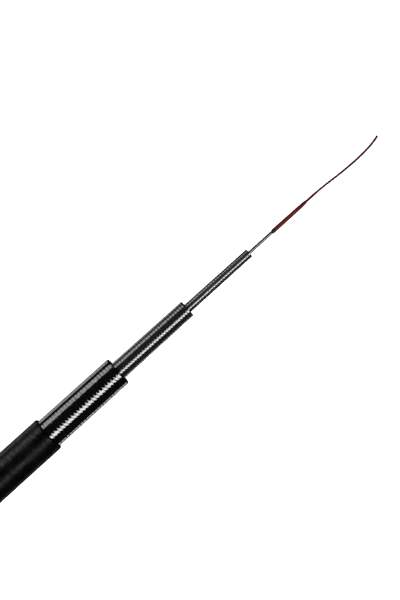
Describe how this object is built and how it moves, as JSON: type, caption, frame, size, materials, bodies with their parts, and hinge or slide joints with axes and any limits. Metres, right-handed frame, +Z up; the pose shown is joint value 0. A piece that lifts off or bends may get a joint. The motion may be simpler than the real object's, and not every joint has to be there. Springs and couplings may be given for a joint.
{
  "type": "telescopic pole",
  "caption": "Slim telescopic composite pole with nested sliding sections, a threaded butt cap, and a braided cord in a shrink sleeve at the tip.",
  "frame": {"origin": "on the floor, under the middle of the pole as stored, measured without the tip cord", "axes": "+X along the pole's axis from the butt cap towards the tip, +Z up, +Y to the left seen from the butt"},
  "size_m": [0.841, 0.022, 0.022],
  "materials": {
    "butt_composite": "matte black lacquer over wound composite",
    "blank_composite": "high gloss black lacquer over tape-wound ridges",
    "collar_alloy": "dark anodised, satin",
    "cap_plastic": "moulded black plastic, fine knurl",
    "rubber_black": "plain black rubber",
    "tip_glass": "dark grey ground glass-fibre rod, satin",
    "resin_dark": "dark epoxy, glossy",
    "sleeve_red": "dark red shrink tube, satin",
    "cord_braid": "dull red fine braid"
  },
  "bodies": {
    "butt": {"butt_blank": "butt_composite", "butt_thread_collar": "collar_alloy"},
    "cap_seal": {"butt_cap_seal_ring": "rubber_black"},
    "butt_cap": {"butt_cap_plug": "cap_plastic", "butt_cap_end_pad": "rubber_black", "butt_cap_cushion": "rubber_black"},
    "section_2": {"section_2_blank": "blank_composite"},
    "section_3": {"section_3_blank": "blank_composite"},
    "section_4": {"section_4_blank": "blank_composite"},
    "tip_section": {"tip_blank": "blank_composite", "solid_tip": "tip_glass", "tip_splice_fillet": "resin_dark", "lillian_resin_cone": "resin_dark", "lillian_sleeve": "sleeve_red", "lillian_cord": "cord_braid"}
  },
  "joints": [
    {"name": "cap_travel", "type": "slide", "parent": "butt", "child": "cap_seal", "axis": [-1, 0, 0], "range_m": [0, 0.00801]},
    {"name": "cap_turn", "type": "hinge", "parent": "cap_seal", "child": "butt_cap", "pos_m": [-0.396, 0, 0.011], "axis": [-1, 0, 0], "range_deg": [0, 1440]},
    {"name": "section_2_slide", "type": "slide", "parent": "butt", "child": "section_2", "axis": [1, 0, 0], "range_m": [-0.03, 0.52]},
    {"name": "section_3_slide", "type": "slide", "parent": "section_2", "child": "section_3", "axis": [1, 0, 0], "range_m": [-0.03, 0.541]},
    {"name": "section_4_slide", "type": "slide", "parent": "section_3", "child": "section_4", "axis": [1, 0, 0], "range_m": [-0.03, 0.562]},
    {"name": "tip_slide", "type": "slide", "parent": "section_4", "child": "tip_section", "axis": [1, 0, 0], "range_m": [-0.03, 0.584]}
  ],
  "couplings": [
    {"joint": "cap_travel", "follows": "cap_turn", "m_per_rad": 0.00031831}
  ]
}
